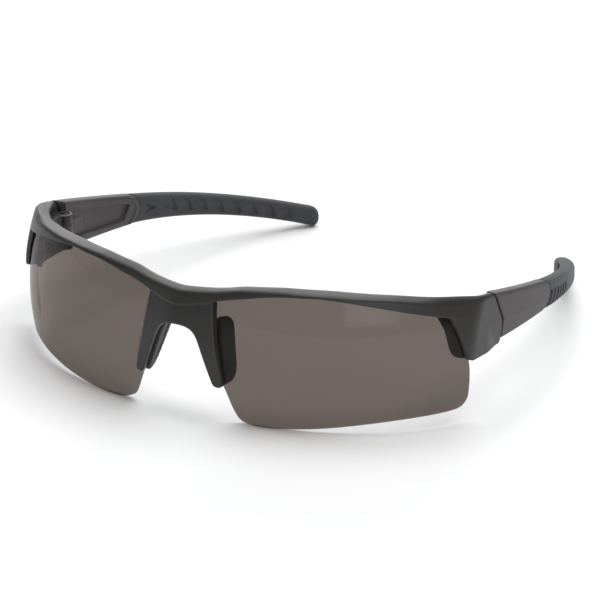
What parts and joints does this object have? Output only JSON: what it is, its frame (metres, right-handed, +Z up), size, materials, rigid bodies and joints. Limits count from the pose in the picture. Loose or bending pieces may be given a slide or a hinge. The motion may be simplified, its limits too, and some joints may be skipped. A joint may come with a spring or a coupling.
{
  "type": "safety glasses",
  "caption": "Half-frame wrap safety glasses with smoke lenses hung from a slim brow bar, soft nose pads, and folding temples with soft hooked ends.",
  "frame": {"origin": "middle of the bounding box on the surface that the glasses stand on, with the temples open", "axes": "-Y is where the wearer looks, +Z is up, +X is the wearer's left; the lower edges of the lenses and the ends of the temples stand on z = 0"},
  "size_m": [0.147, 0.1553, 0.0411],
  "materials": {
    "frame": "fine matte charcoal moulding",
    "lens": "clear polished smoke polycarbonate",
    "soft_pad": "matte soft rubber",
    "screw": "plain turned steel",
    "insert": "plain turned brass",
    "washer": "natural nylon",
    "temple": "fine matte charcoal moulding",
    "soft_tip": "matte soft rubber with a pale bloom",
    "wire": "drawn steel wire"
  },
  "bodies": {
    "front": {"frame_front": "frame", "lens_left": "lens", "lens_right": "lens", "nose_pad_left": "soft_pad", "nose_pad_right": "soft_pad", "hinge_screw_left": "screw", "hinge_screw_right": "screw", "hinge_insert_left": "insert", "hinge_insert_right": "insert", "hinge_washer_left": "washer", "hinge_washer_right": "washer"},
    "temple_left": {"temple_arm_left": "temple", "temple_tip_left": "soft_tip", "core_wire_left": "wire"},
    "temple_right": {"temple_arm_right": "temple", "temple_tip_right": "soft_tip", "core_wire_right": "wire"}
  },
  "joints": [
    {"name": "temple_left_fold", "type": "hinge", "parent": "front", "child": "temple_left", "pos_m": [0.0682, -0.0268, 0.027], "axis": [0, 0, 1], "range_deg": [0, 90]},
    {"name": "temple_right_fold", "type": "hinge", "parent": "front", "child": "temple_right", "pos_m": [-0.0682, -0.0268, 0.027], "axis": [0, 0, -1], "range_deg": [0, 80]}
  ]
}
